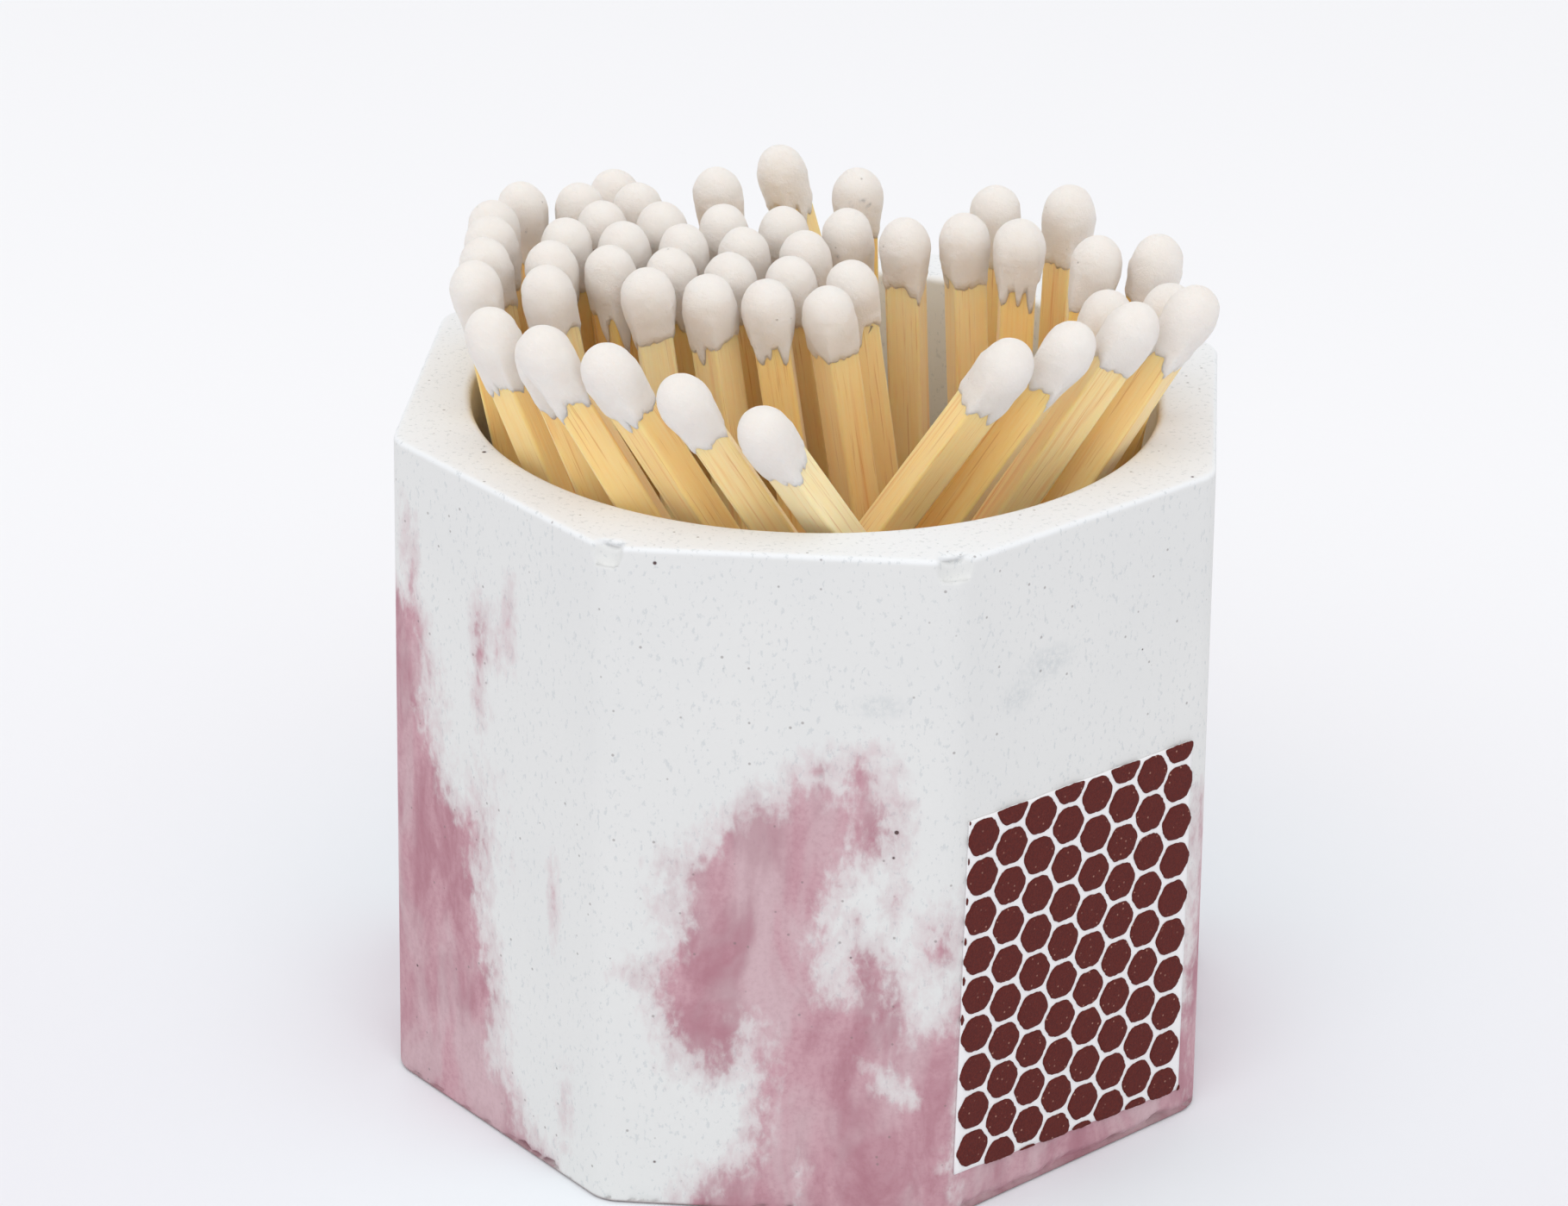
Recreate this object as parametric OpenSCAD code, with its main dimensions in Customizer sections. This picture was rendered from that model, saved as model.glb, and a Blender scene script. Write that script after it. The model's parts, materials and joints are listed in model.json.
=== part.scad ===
// Octagonal cast match pot with a striker patch, filled with loose wooden matches.
// Millimetres. +Z is up, the pot's front face looks towards -Y, and the origin is the
// middle of the base.

/* [Pot] */
// Width across opposite flats at the rim
rim_af = 50; // [48.6:0.1:54]
// Width across opposite flats at the base
base_af = 51.2; // [48.6:0.1:55]
// Height of the pot
pot_h = 44; // [40:0.5:46]
// Radius of the eight upright corners
corner_r = 2.5; // [1.5:0.1:3]
// Chamfer round the top edge and the base edge
edge_c = 0.3; // [0.1:0.05:0.5]

/* [Well] */
// Radius of the round well at the rim
well_r = 21.4; // [21.2:0.1:22.2]
// Radius of the well at its floor
floor_r = 20.7; // [20.3:0.1:21]
// Thickness of the floor under the well
floor_t = 7; // [5:0.5:9]
// Rounding where the wall of the well meets its floor
floor_fillet = 1.2; // [0.5:0.1:1.5]
// Rounding of the rim's inner edge
lip_r = 0.5; // [0.2:0.1:0.8]

/* [Striker patch] */
// Left edge of the patch at its top, from the middle of its face
patch_left = -9.3; // [-9.4:0.1:-6]
// Right edge of the patch
patch_right = 9.1; // [6:0.1:9.4]
// Height of the patch's top left corner
patch_top = 27; // [20:0.5:40]
// Height of the patch's lowest corner, at the right
patch_bottom = 2; // [1:0.1:8]
// How far the hand-cut left edge runs out towards its foot
cut_left = 0.7; // [0:0.1:0.8]
// How far the top edge falls towards the right
cut_top = 0.4; // [0:0.1:1.5]
// How far the bottom edge rises towards the left
cut_bottom = 1.1; // [0:0.1:2]
// Thickness of the white film
film_t = 0.15; // [0.1:0.05:0.3]
// Thickness of the printed striking compound
coat_t = 0.1; // [0.05:0.05:0.2]
// Spacing of the cells up a column
cell_pitch = 2.65; // [2:0.01:4]
// Spacing of the columns of cells
column_pitch = 2.32; // [2:0.01:4]
// Width of the white lines between the cells
line_w = 0.45; // [0.2:0.05:0.8]
// Turn of the cell pattern on the patch, degrees
pattern_turn = -1.2; // [-8:0.1:8]

/* [Matches] */
// Length of a match from its foot to the tip of its head
match_l = 48; // [46:0.5:52]
// Side of the square stick
stick_w = 2.15; // [1.8:0.05:2.2]
// Length of the dipped head
head_l = 5; // [4:0.1:5.6]
// Width of the head at its widest
head_d = 3.2; // [3.1:0.05:3.3]
// Thickness of the dip over the end of the stick
tip_cover = 1.5; // [1.4:0.1:1.8]
// Thickness of the dip where it runs down the stick
skin_t = 0.08; // [0.05:0.01:0.1]
// Clearance under the lowest corner of each foot
foot_gap = 0.1; // [0.05:0.05:0.3]

/* [Hidden] */
// The matches in rows, laid out by hand so that their heads come where the photograph has
// them: how far right of the pot's middle each stick passes the rim, how far back the first
// and the last pass it, where the first one's foot and the last one's foot are, and how high
// above the floor the feet are. The sticks that lean most are wedged between others and the
// wall, off the floor.
rows = [
    [[-9.5, -5.7, -1.8, 2.2], [-17.2, -19.5], [8.5, -15.5], [18.5, -3.5], 5],
    [[-15.5, -12.2], [-12, -14.8], [-1, -13], [2.5, -16], 1],
    [[7.5, 11, 14.5, 18], [-13, -7.5], [-12, -7.5], [0, -7.5], 5],
    [[15.5, 19.2], [-4.2, -3], [3, -4], [6.7, -3.5], 0],
    [[15.8, 19.5], [0.5, 1], [10, 0], [13.8, 0.5], 0],
    [[-18.6, -14.3, -8.6, -4.9, -1.3, 2.4], [-6.3, -6.3], [-12, -2.6], [7, 1.5], 0],
    [[-18.8, -14.8, -11.2, -7.5, -3.9, -0.2, 3.5], [-2.8, -2.3], [-13.5, 1], [8, 5], 0],
    [[-19.3, -14.8, -11.2, -7.5, -3.8, 0], [0.8, 1.6], [-15.5, 5], [3, 8], 0],
    [[-19.2, -13, -9.3, -5.5, -1.8, 2.1], [4.3, 5.6], [-13.5, 8.8], [4.2, 12], 0],
    [[5.6, 9.3], [3.8, 4.3], [7, 9.3], [10.8, 8.8], 0],
    [[12.2, 15], [2.5, 9], [11.5, 4.5], [14, 11], 0],
    [[-17.8, -14.2, -10.6], [8.1, 9.2], [-11.5, 12.5], [-4.5, 14.5], 0],
    [[-6, 2], [11.5, 11.5], [-1, 15.3], [3, 15.5], 0],
    [[10.5], [9, 9], [10, 12.5], [10, 12.5], 0],
    [[-12, -1.5], [13, 17.5], [-3, 18], [9, 16], 0]
];
// Each stick is rolled this much further about its own length than the one before, degrees
roll_step = 37;
// Every match of every row: [rim x, rim y, foot x, foot y, foot height]
places = [for (row = rows) let (count = len(row[0])) for (k = [0 : count - 1])
    let (share = count == 1 ? 0 : k / (count - 1))
    [row[0][k], blend(row[1][0], row[1][1], share),
     blend(row[2][0], row[3][0], share), blend(row[2][1], row[3][1], share), row[4]]];
match_names = [for (i = [1 : len(places)]) str("match_", i < 10 ? "0" : "", i)];

// Half the angle between two neighbouring faces of the octagon
half_turn = 22.5;
// The rows of matches are laid out for these radii of the well, and follow the real ones
layout_rim_r = 21.4;
layout_floor_r = 20.7;
rim_scale = well_r / layout_rim_r;
foot_scale = floor_r / layout_floor_r;
// Distance of the upright corners from the pot's axis, before they are rounded
rim_corner = rim_af / 2 / cos(half_turn);
base_corner = base_af / 2 / cos(half_turn);
// Slopes of the corners and the faces, which run between the two chamfers
slope_h = pot_h - 2 * edge_c;
corner_slope = atan((base_corner - rim_corner) / slope_h);
face_slope = atan((base_af - rim_af) / 2 / slope_h);
// A corner's cutter is this much rounder than the corner, so that it crosses the faces
corner_ease = 1.01;
// Steps in a quarter of a rounded edge
arc_steps = 6;
// Middle of a whole cell near the patch's left edge, and how far a cell's tips are worn
first_cell = [-8.3, 20.4];
cell_wear = 0.93;
// A cell whose middle lies this far past the patch's edge still shows on it
side_reach = 0.8;
end_reach = 0.7;
// Where the head's egg shape is widest, as a share of its length, and its neck's width
head_belly = 0.62;
head_neck = 0.78;
head_steps = 6;
// Length of the skin of dip that runs down the stick, from the head's foot
skin_up = 2;
skin_down = 0.5;
// Hairline between the wood and the dip, which keeps them two solids
bond_gap = 0.01;

concrete = [0.9, 0.88, 0.88];
paper = [0.9, 0.9, 0.91];
compound = [0.35, 0.13, 0.12];
wood = [0.93, 0.76, 0.48];
dip = [0.95, 0.92, 0.9];

function blend(a, b, share) = a + (b - a) * share;

// Points of a quarter circle about a centre, from one angle to another
function arc(centre, r, from, to) =
    [for (k = [0 : arc_steps]) let (t = blend(from, to, k / arc_steps)) centre + r * [cos(t), sin(t)]];

// One pair of opposite faces, with the draft and the chamfers at both ends
module face_pair() {
    base = base_af / 2;
    rim = rim_af / 2;
    half = [[base - edge_c, 0], [base, edge_c], [rim, pot_h - edge_c], [rim - edge_c, pot_h]];
    mirrored = [for (k = [len(half) - 1 : -1 : 0]) [-half[k][0], half[k][1]]];
    rotate([90, 0, 0])
        linear_extrude(height = 2 * base_af, center = true)
            polygon(concat(half, mirrored));
}

// What comes off one upright corner to leave it round: the wedge between the two faces'
// square lines, less the round itself
module corner_cutter() {
    depth = corner_r / cos(half_turn);
    reach = 2 * corner_r;
    translate([base_corner, 0, edge_c])
        rotate([0, -corner_slope, 0])
            translate([-depth, 0, 0])
                difference() {
                    translate([0, 0, -1])
                        linear_extrude(height = pot_h + 2)
                            polygon([
                                [0, 0],
                                [reach * cos(half_turn), reach * sin(half_turn)],
                                [reach * cos(half_turn), -reach * sin(half_turn)]
                            ]);
                    translate([0, 0, -2])
                        cylinder(r = corner_r * corner_ease, h = pot_h + 4, $fn = 96);
                }
}

// The room inside the well, turned from its profile
module well_room() {
    profile = concat(
        [[0, floor_t]],
        arc([floor_r - floor_fillet, floor_t + floor_fillet], floor_fillet, -90, 0),
        arc([well_r + lip_r, pot_h - lip_r], lip_r, 180, 90),
        [[well_r + lip_r, pot_h + 1], [0, pot_h + 1]]);
    rotate_extrude($fn = 128)
        polygon(profile);
}

module pot() {
    color(concrete)
        difference() {
            intersection_for (turn = [0 : 45 : 135])
                rotate(turn)
                    face_pair();
            for (k = [0 : 7])
                rotate(half_turn + 45 * k)
                    corner_cutter();
            well_room();
        }
}

// Puts a flat drawing on the front right face: x runs right along it, y runs up it
module on_striker_face(lift) {
    rotate(45)
        translate([0, -base_af / 2, edge_c])
            rotate([90 - face_slope, 0, 0])
                translate([0, -edge_c, lift])
                    children();
}

// The patch as it was cut by hand
module patch_outline() {
    polygon([
        [patch_left, patch_top],
        [patch_right, patch_top - cut_top],
        [patch_right, patch_bottom],
        [patch_left - cut_left, patch_bottom + cut_bottom]
    ]);
}

// One cell of striking compound, a hexagon with its tips worn round
module cell_outline() {
    tip = column_pitch * 2 / 3 - line_w / sqrt(3);
    flat = (cell_pitch - line_w) / 2;
    intersection() {
        polygon([[tip, 0], [tip / 2, flat], [-tip / 2, flat], [-tip, 0], [-tip / 2, -flat], [tip / 2, -flat]]);
        circle(r = tip * cell_wear, $fn = 48);
    }
}

// Where a cell's middle lies, counted in columns and cells from the first cell
function cell_at(column, cell) =
    let (x = column * column_pitch, y = (cell + abs(column % 2) / 2) * cell_pitch)
    first_cell + [x * cos(pattern_turn) - y * sin(pattern_turn), x * sin(pattern_turn) + y * cos(pattern_turn)];

// Whether enough of a cell lies on the patch to be worth drawing
function on_patch(at) =
    at[0] > patch_left - cut_left - side_reach && at[0] < patch_right + side_reach
    && at[1] > patch_bottom - end_reach && at[1] < patch_top + end_reach;

module striker_sheet() {
    color(paper)
        on_striker_face(0)
            linear_extrude(height = film_t)
                patch_outline();
}

module striker_cells() {
    color(compound)
        on_striker_face(film_t)
            for (column = [-2 : 9])
                for (cell = [-10 : 9])
                    let (at = cell_at(column, cell))
                    if (on_patch(at))
                        linear_extrude(height = coat_t)
                            intersection() {
                                patch_outline();
                                translate(at)
                                    rotate(pattern_turn)
                                        cell_outline();
                            }
}

// Half outline of a dipped head, from its neck up over its belly to its tip
function head_profile() =
    let (belly_z = head_l * head_belly, r = head_d / 2, neck = r * head_neck)
    concat(
        [[0, 0]],
        [for (k = [0 : head_steps]) let (t = k / head_steps) [blend(neck, r, sin(90 * t)), belly_z * t]],
        [for (k = [1 : head_steps]) let (t = 90 * k / head_steps) [r * cos(t), belly_z + (head_l - belly_z) * sin(t)]]);

module stick(length, width) {
    translate([-width / 2, -width / 2, 0])
        cube([width, width, length]);
}

module head() {
    skin_w = stick_w + 2 * skin_t;
    difference() {
        translate([0, 0, match_l - head_l])
            union() {
                rotate_extrude($fn = 64)
                    polygon(head_profile());
                translate([-skin_w / 2, -skin_w / 2, -skin_down])
                    cube([skin_w, skin_w, skin_up + skin_down]);
            }
        translate([0, 0, -1])
            stick(match_l - tip_cover + 1 + bond_gap, stick_w + 2 * bond_gap);
    }
}

// A stick and its head, leaning from its place in the well to its place at the rim
module match(place, roll) {
    foot = [place[2], place[3]] * foot_scale;
    foot_z = floor_t + place[4];
    lean = [place[0], place[1]] * rim_scale - foot;
    rise = pot_h - foot_z;
    tilt = atan2(norm(lean), rise);
    heading = atan2(lean[1], lean[0]);
    lowest_corner = stick_w / 2 * (abs(cos(roll)) + abs(sin(roll))) * sin(tilt);
    along = (foot_gap + lowest_corner) / cos(tilt);
    translate([foot[0], foot[1], foot_z])
        rotate([0, tilt, heading])
            translate([0, 0, along])
                rotate(roll) {
                    color(wood)
                        stick(match_l - tip_cover, stick_w);
                    color(dip)
                        head();
                }
}

pot();
striker_sheet();
striker_cells();
for (i = [0 : len(places) - 1])
    match(places[i], roll_step * i);
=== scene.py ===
"""Looks of an octagonal cast match pot with a striker patch, full of loose matches.

Lengths are in millimetres up to the place where a mesh is made, and in metres after it.
"""
import json
import math
import random

import bpy
import bmesh
import numpy as np
from mathutils import Matrix, Vector, noise


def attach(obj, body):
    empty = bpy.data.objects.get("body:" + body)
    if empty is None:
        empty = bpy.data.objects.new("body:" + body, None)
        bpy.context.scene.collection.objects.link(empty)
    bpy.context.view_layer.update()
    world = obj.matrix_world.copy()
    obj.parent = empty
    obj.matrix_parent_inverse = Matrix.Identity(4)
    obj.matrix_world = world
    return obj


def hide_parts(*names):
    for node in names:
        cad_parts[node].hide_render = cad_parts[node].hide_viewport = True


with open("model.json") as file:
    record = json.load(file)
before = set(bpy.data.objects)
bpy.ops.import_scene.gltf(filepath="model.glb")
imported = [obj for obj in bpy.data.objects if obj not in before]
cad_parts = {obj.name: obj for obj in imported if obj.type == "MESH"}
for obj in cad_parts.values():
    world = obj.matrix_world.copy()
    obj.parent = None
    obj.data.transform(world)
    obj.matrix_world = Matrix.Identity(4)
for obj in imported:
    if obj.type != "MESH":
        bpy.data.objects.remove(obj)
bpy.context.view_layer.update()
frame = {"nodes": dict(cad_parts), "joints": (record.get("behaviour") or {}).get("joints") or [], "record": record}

MM = 0.001

# The camera, in the pot's own frame
CAMERA_AT = (20.6, -271.9, 156.1)
CAMERA_HEADING = -4.71
CAMERA_DIP = 24.93
CAMERA_ROLL = 0.61
CAMERA_LENS = 108.4

# The pot's outline
CORNER_R = 2.5
EDGE_R = 0.3
LIP_R = 0.5
FLOOR_FILLET = 1.2
FACE_COLUMNS = 60
CORNER_COLUMNS = 14
WALL_RINGS = 100

# A match
HEAD_L = 5.0
HEAD_R = 1.64
BELLY = 1.9
NECK_R = 1.25
SKIN = 0.1
SKIN_EDGE = 0.22
COVER = 0.03
TIP_COVER = 1.55
STICK_EDGE = 0.1

# Heights between which the casting turns to its paler top, a painted highlight where the top faces the overhead light
TOP_LIGHT_LOW = 43.6
TOP_LIGHT_HIGH = 43.9

# Where the floor's painted light falloff starts and ends, darker at the front and lighter towards the back
FLOOR_NEAR = -60
FLOOR_FAR = 110
# How far from the pot's middle the floor's painted pool of light starts and ends its fall
PAINTED_GLOW_NEAR = 26
PAINTED_GLOW_FAR = 60


def paint(red, green, blue):
    """A colour as it looks on a screen, 0 to 255, as the linear values that shaders take."""
    def linear(value):
        share = value / 255
        return share / 12.92 if share <= 0.04045 else ((share + 0.055) / 1.055) ** 2.4
    return (linear(red), linear(green), linear(blue), 1.0)


def smooth(value, low, high):
    """0 below low, 1 above high, and an even bend between them."""
    share = np.clip((value - low) / (high - low), 0, 1)
    return share * share * (3 - 2 * share)


class Shader:
    """The nodes of one material. Each method adds a node and gives its output."""

    def __init__(self, name):
        self.material = bpy.data.materials.new(name)
        self.material.use_nodes = True
        self.nodes = self.material.node_tree.nodes
        self.links = self.material.node_tree.links
        self.nodes.clear()
        self.surface = self.nodes.new("ShaderNodeBsdfPrincipled")
        self.output = self.nodes.new("ShaderNodeOutputMaterial")
        self.links.new(self.surface.outputs[0], self.output.inputs["Surface"])

    def feed(self, socket, value):
        if isinstance(value, bpy.types.NodeSocket):
            self.links.new(value, socket)
        else:
            socket.default_value = value

    def set(self, name, value):
        self.feed(self.surface.inputs[name], value)

    def place(self):
        """The point on the object, in millimetres."""
        return self.stretch(self.nodes.new("ShaderNodeTexCoord").outputs["Object"], (1 / MM,) * 3)

    def stored(self, name, output="Vector"):
        node = self.nodes.new("ShaderNodeAttribute")
        node.attribute_name = name
        return node.outputs[output]

    def stretch(self, vector, scale):
        node = self.nodes.new("ShaderNodeVectorMath")
        node.operation = "MULTIPLY"
        self.feed(node.inputs[0], vector)
        node.inputs[1].default_value = scale
        return node.outputs[0]

    def noise(self, vector, scale, detail=2.0, roughness=0.5, warp=0.0):
        node = self.nodes.new("ShaderNodeTexNoise")
        self.feed(node.inputs["Vector"], vector)
        node.inputs["Scale"].default_value = scale
        node.inputs["Detail"].default_value = detail
        node.inputs["Roughness"].default_value = roughness
        node.inputs["Distortion"].default_value = warp
        return node.outputs["Fac"]

    def cells(self, vector, scale):
        """Distance from the nearest of many scattered points, and a random number for each."""
        node = self.nodes.new("ShaderNodeTexVoronoi")
        self.feed(node.inputs["Vector"], vector)
        node.inputs["Scale"].default_value = scale
        return node.outputs["Distance"], self.red(node.outputs["Color"])

    def axis(self, vector, name):
        node = self.nodes.new("ShaderNodeSeparateXYZ")
        self.feed(node.inputs[0], vector)
        return node.outputs[name]

    def length(self, vector):
        node = self.nodes.new("ShaderNodeVectorMath")
        node.operation = "LENGTH"
        self.feed(node.inputs[0], vector)
        return node.outputs["Value"]

    def red(self, colour):
        node = self.nodes.new("ShaderNodeSeparateColor")
        self.feed(node.inputs[0], colour)
        return node.outputs[0]

    def math(self, operation, first, second=0.0, third=0.0):
        node = self.nodes.new("ShaderNodeMath")
        node.operation = operation
        self.feed(node.inputs[0], first)
        self.feed(node.inputs[1], second)
        self.feed(node.inputs[2], third)
        return node.outputs[0]

    def span(self, value, low, high, to_low=0.0, to_high=1.0):
        """Value from low to high, taken smoothly to the range from to_low to to_high."""
        node = self.nodes.new("ShaderNodeMapRange")
        node.interpolation_type = "SMOOTHSTEP"
        self.feed(node.inputs["Value"], value)
        node.inputs["From Min"].default_value = low
        node.inputs["From Max"].default_value = high
        node.inputs["To Min"].default_value = to_low
        node.inputs["To Max"].default_value = to_high
        return node.outputs["Result"]

    def mix(self, share, first, second):
        node = self.nodes.new("ShaderNodeMix")
        node.data_type = "RGBA"
        self.feed(node.inputs[0], share)
        self.feed(node.inputs[6], first)
        self.feed(node.inputs[7], second)
        return node.outputs[2]

    def bump(self, height, depth):
        """Depth in millimetres for a height from 0 to 1."""
        node = self.nodes.new("ShaderNodeBump")
        node.inputs["Strength"].default_value = 1.0
        node.inputs["Distance"].default_value = depth * MM
        self.feed(node.inputs["Height"], height)
        self.links.new(node.outputs[0], self.surface.inputs["Normal"])


def cast_body():
    """White mineral casting with dusty pink marbling, fine grey flecks and dark pores, a painted highlight on its
    flat top and painted shade along its foot.
    """
    shader = Shader("cast_body")
    point = shader.place()
    drawn = shader.stretch(point, (1, 1, 0.45))
    broad = shader.noise(drawn, 0.4, 3, 0.5, 0.5)
    fine = shader.noise(shader.stretch(point, (1, 1, 0.6)), 1.5, 5, 0.6, 0.3)
    vein = shader.math("ADD", shader.stored("vein", "Fac"), 0.6)
    ragged = shader.math("ADD", vein, shader.span(broad, 0.25, 0.75, -0.6, 0.6))
    ragged = shader.math("ADD", ragged, shader.span(fine, 0.25, 0.75, -0.75, 0.75))
    haze = shader.span(ragged, -1.7, 1.0, 0.0, 0.4)
    core = shader.span(ragged, -0.8, 1.9)
    washed = shader.span(shader.noise(drawn, 0.2, 3, 0.6, 0.6), 0.36, 0.56, 0.78, 1.0)
    pink = shader.math("MAXIMUM", haze, shader.math("MULTIPLY", core, washed))
    grain = shader.noise(point, 2.8, 4, 0.7)
    depth = shader.span(shader.noise(drawn, 0.33, 4, 0.6, 0.5), 0.36, 0.66)
    rose = shader.mix(depth, paint(200, 158, 167), paint(176, 124, 136))
    rose = shader.mix(shader.span(grain, 0.4, 0.75, 0, 0.4), rose, paint(170, 117, 128))
    white = shader.mix(shader.noise(point, 0.12, 2), paint(223, 224, 223), paint(230, 230, 228))
    speck = shader.span(shader.noise(shader.stretch(point, (1, 1, 0.6)), 3.4, 3, 0.6), 0.57, 0.68, 0, 0.5)
    smudge = shader.math("MULTIPLY", shader.stored("smudge", "Fac"), shader.span(grain, 0.35, 0.65, 0.1, 0.6))
    # painted highlight: the flat top is painted paler and cooler than the walls, for the light it catches from above
    painted_top_light = shader.span(shader.axis(point, "Z"), TOP_LIGHT_LOW, TOP_LIGHT_HIGH, 0.0, 0.8)
    white = shader.mix(painted_top_light, white, paint(238, 240, 242))
    white = shader.mix(shader.math("MAXIMUM", speck, smudge), white, paint(196, 201, 203))
    body = shader.mix(pink, white, rose)
    reach, kept = shader.cells(point, 0.42)
    size = shader.span(kept, 0.72, 1.0, 0.0, 0.06)
    pore = shader.span(shader.math("SUBTRACT", reach, size), -0.02, 0.012, 1.0, 0.0)
    pore = shader.math("MULTIPLY", pore, shader.math("GREATER_THAN", kept, 0.72))
    small_reach, small_kept = shader.cells(point, 1.25)
    dot = shader.span(small_reach, 0.07, 0.15, 1.0, 0.0)
    dot = shader.math("MULTIPLY", dot, shader.math("GREATER_THAN", small_kept, 0.78))
    body = shader.mix(shader.math("MULTIPLY", dot, 0.55), body, paint(124, 114, 112))
    body = shader.mix(pore, body, paint(90, 70, 70))
    # painted shade: the lowest few tenths of a millimetre are darkened, standing in for the shadow where the foot
    # meets the floor
    painted_contact_shade = shader.span(shader.axis(point, "Z"), 0.05, 0.35, 0.7, 0.0)
    body = shader.mix(painted_contact_shade, body, paint(120, 84, 84))
    shader.set("Base Color", body)
    shader.set("Roughness", shader.span(grain, 0.2, 0.8, 0.5, 0.66))
    shader.set("Specular IOR Level", 0.3)
    height = shader.math("MULTIPLY", shader.noise(point, 3.5, 4, 0.6), 0.35)
    height = shader.math("SUBTRACT", height, pore)
    shader.bump(height, 0.05)
    return shader.material


def film():
    """White vinyl film."""
    shader = Shader("film")
    mottle = shader.noise(shader.place(), 0.8, 3)
    shader.set("Base Color", shader.mix(mottle, paint(236, 235, 236), paint(244, 243, 244)))
    shader.set("Roughness", shader.span(mottle, 0.3, 0.7, 0.38, 0.5))
    shader.bump(shader.noise(shader.place(), 1.2, 2), 0.02)
    return shader.material


def striking_compound():
    """Red-brown striking compound, gritty, with a few pale crystals."""
    shader = Shader("striking_compound")
    point = shader.place()
    grit = shader.noise(point, 7, 4, 0.7)
    brown = shader.mix(shader.span(grit, 0.35, 0.7), paint(84, 27, 24), paint(104, 42, 36))
    reach, kept = shader.cells(point, 3.2)
    crystal = shader.span(reach, 0.12, 0.28, 1.0, 0.0)
    crystal = shader.math("MULTIPLY", crystal, shader.span(kept, 0.72, 1.0, 0.0, 0.7))
    shader.set("Base Color", shader.mix(crystal, brown, paint(190, 140, 122)))
    shader.set("Roughness", shader.span(grit, 0.3, 0.7, 0.6, 0.8))
    shader.set("Specular IOR Level", 0.2)
    shader.bump(shader.math("ADD", grit, crystal), 0.04)
    return shader.material


def matchwood():
    """Split aspen: pale to warm yellow, with long fibres and a few darker streaks."""
    shader = Shader("matchwood")
    grain = shader.stored("grain")
    fibres = shader.noise(shader.stretch(grain, (1, 1, 0.05)), 3.4, 5, 0.65, 0.4)
    streaks = shader.noise(shader.stretch(grain, (1, 1, 0.03)), 1.1, 3, 0.6, 0.8)
    tone = shader.stored("tone", "Fac")
    pale = shader.mix(fibres, paint(255, 243, 205), paint(255, 222, 152))
    warm = shader.mix(fibres, paint(255, 222, 138), paint(253, 188, 84))
    wood = shader.mix(tone, pale, warm)
    wood = shader.mix(shader.span(streaks, 0.56, 0.76, 0, 0.6), wood, paint(228, 140, 56))
    pores = shader.noise(shader.stretch(grain, (1, 1, 0.02)), 7.5, 3, 0.6)
    wood = shader.mix(shader.span(pores, 0.58, 0.7, 0, 0.45), wood, paint(206, 132, 62))
    shader.set("Base Color", wood)
    shader.set("Subsurface Weight", 0.4)
    shader.set("Subsurface Radius", (1.0, 0.45, 0.15))
    shader.set("Subsurface Scale", 1.2 * MM)
    shader.set("Sheen Weight", 0.6)
    shader.set("Sheen Roughness", 0.5)
    shader.set("Sheen Tint", (1.0, 0.9, 0.72, 1.0))
    shader.set("Roughness", shader.span(fibres, 0.3, 0.7, 0.5, 0.68))
    shader.set("Specular IOR Level", 0.3)
    shader.bump(fibres, 0.05)
    return shader.material


def dip():
    """Off-white match head compound, chalky, with pinholes."""
    shader = Shader("dip")
    grain = shader.stored("grain")
    cloud = shader.noise(grain, 0.8, 3)
    chalk = shader.mix(cloud, paint(244, 236, 229), paint(251, 245, 239))
    soot = shader.math("MULTIPLY", shader.stored("soot", "Fac"), shader.span(shader.noise(grain, 3, 3), 0.4, 0.6, 0.2, 0.8))
    chalk = shader.mix(soot, chalk, paint(150, 150, 152))
    reach, kept = shader.cells(grain, 1.1)
    pinhole = shader.span(reach, 0.05, 0.09, 1.0, 0.0)
    pinhole = shader.math("MULTIPLY", pinhole, shader.math("GREATER_THAN", kept, 0.8))
    shader.set("Base Color", shader.mix(shader.math("MULTIPLY", pinhole, 0.4), chalk, paint(160, 146, 138)))
    shader.set("Subsurface Weight", 0.4)
    shader.set("Subsurface Radius", (1.0, 0.85, 0.75))
    shader.set("Subsurface Scale", 0.9 * MM)
    shader.set("Roughness", 0.75)
    shader.set("Specular IOR Level", 0.2)
    height = shader.math("ADD", shader.noise(grain, 3.2, 6, 0.75), shader.math("MULTIPLY", pinhole, -1.0))
    shader.bump(height, 0.14)
    return shader.material


def studio_floor():
    """Pale floor with painted light: a painted falloff from darker at the front to lighter behind the pot, and a
    painted pool of light round the pot against its shadow.
    """
    shader = Shader("studio_floor")
    # painted light falloff: the floor is painted darker in front of the pot and lighter behind it
    back = shader.span(shader.axis(shader.place(), "Y"), FLOOR_NEAR, FLOOR_FAR)
    plain = shader.mix(back, paint(233, 233, 238), paint(243, 243, 245))
    # painted light: the floor round the pot is painted brighter and bluer, to cancel the pot's shadow and its pink
    # bounce
    along = shader.stretch(shader.place(), (1, 1, 0))
    away = shader.span(shader.length(along), PAINTED_GLOW_NEAR, PAINTED_GLOW_FAR)
    shader.set("Base Color", shader.mix(away, paint(238, 242, 246), plain))
    shader.set("Roughness", 0.9)
    shader.set("Specular IOR Level", 0.1)
    return shader.material


def make_piece(name, points, faces, material):
    """A smooth mesh object from points in millimetres."""
    mesh = bpy.data.meshes.new(name)
    mesh.from_pydata([tuple(point) for point in np.asarray(points, float) * MM], [], faces)
    mesh.validate()
    mesh.polygons.foreach_set("use_smooth", [True] * len(mesh.polygons))
    mesh.materials.append(material)
    piece = bpy.data.objects.new(name, mesh)
    bpy.context.scene.collection.objects.link(piece)
    return piece


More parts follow.
